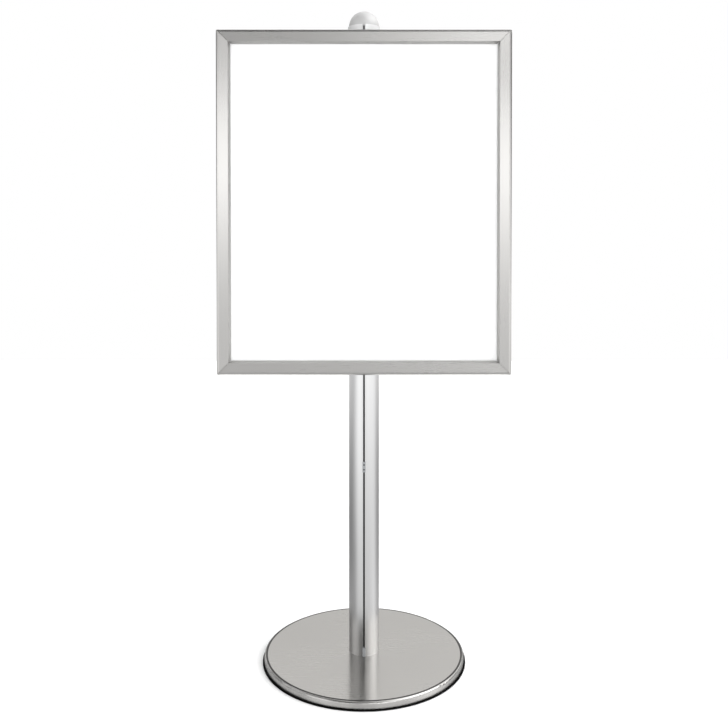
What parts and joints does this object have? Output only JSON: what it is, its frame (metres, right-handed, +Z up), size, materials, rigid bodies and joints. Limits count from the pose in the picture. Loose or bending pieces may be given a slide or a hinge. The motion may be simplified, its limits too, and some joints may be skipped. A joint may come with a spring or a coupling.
{
  "type": "sign stand",
  "caption": "Free-standing sign stand: a snap-open rectangular sheet frame on a slotted round post with a domed cap and a weighted round base.",
  "frame": {"origin": "centre of the base's underside, on the floor under the post's axis", "axes": "+Z up along the post, -Y the way the sign faces, +X to the right of someone reading the sign"},
  "size_m": [0.546, 0.385, 1.2308],
  "materials": {
    "base_steel": "satin brushed stainless",
    "edge_rubber": "matte",
    "base_iron": "black painted casting",
    "fastener_steel": "zinc plated",
    "post_aluminium": "satin anodised, drawn lengthways",
    "frame_aluminium": "satin anodised",
    "rail_aluminium": "satin anodised, drawn lengthways",
    "cap_metal": "satin polished",
    "insert_grey": "satin moulded",
    "black_screw": "black oxide",
    "key_steel": "zinc plated",
    "spring_steel": "spring steel strip",
    "panel_white": "matte",
    "poster_paper": "blank matte paper",
    "clear_film": "anti-glare",
    "bracket_black": "black powder coat"
  },
  "bodies": {
    "stand": {"base_edge_ring": "edge_rubber", "base_cover": "base_steel", "base_weight": "base_iron", "post_washers": "fastener_steel", "post_screws": "fastener_steel", "post": "post_aluminium", "slot_foot_insert": "insert_grey", "dome_cap": "cap_metal"},
    "stop": {"slot_stop": "insert_grey", "slot_stop_screws": "black_screw"},
    "frame": {"frame_back_bottom": "frame_aluminium", "frame_back_right": "frame_aluminium", "frame_back_top": "frame_aluminium", "frame_back_left": "frame_aluminium", "corner_key_bottom_right": "key_steel", "corner_key_top_right": "key_steel", "corner_key_top_left": "key_steel", "corner_key_bottom_left": "key_steel", "corner_key_screws": "fastener_steel", "backing_panel": "panel_white", "poster_sheet": "poster_paper", "cover_sheet": "clear_film", "upper_bracket": "bracket_black", "lower_bracket": "bracket_black", "bracket_screws": "fastener_steel", "upper_t_bolt": "fastener_steel", "lower_t_bolt": "fastener_steel", "t_bolt_washers": "fastener_steel", "t_bolt_nuts": "fastener_steel", "springs_bottom": "spring_steel", "springs_right": "spring_steel", "springs_top": "spring_steel", "springs_left": "spring_steel"},
    "rail_bottom": {"snap_rail_bottom": "rail_aluminium"},
    "rail_right": {"snap_rail_right": "rail_aluminium"},
    "rail_top": {"snap_rail_top": "rail_aluminium"},
    "rail_left": {"snap_rail_left": "rail_aluminium"}
  },
  "joints": [
    {"name": "frame_height", "type": "slide", "parent": "stand", "child": "frame", "axis": [0, 0, 1], "range_m": [-0.16, 0]},
    {"name": "stop_height", "type": "slide", "parent": "stand", "child": "stop", "axis": [0, 0, 1], "range_m": [-0.32, 0]},
    {"name": "open_bottom_rail", "type": "hinge", "parent": "frame", "child": "rail_bottom", "pos_m": [0, -0.0478, 0.5533], "axis": [1, 0, 0], "range_deg": [0, 90]},
    {"name": "open_right_rail", "type": "hinge", "parent": "frame", "child": "rail_right", "pos_m": [0.2687, -0.0478, 0.868], "axis": [0, 0, 1], "range_deg": [0, 90]},
    {"name": "open_top_rail", "type": "hinge", "parent": "frame", "child": "rail_top", "pos_m": [0, -0.0478, 1.1827], "axis": [-1, 0, 0], "range_deg": [0, 90]},
    {"name": "open_left_rail", "type": "hinge", "parent": "frame", "child": "rail_left", "pos_m": [-0.2687, -0.0478, 0.868], "axis": [0, 0, -1], "range_deg": [0, 90]}
  ]
}
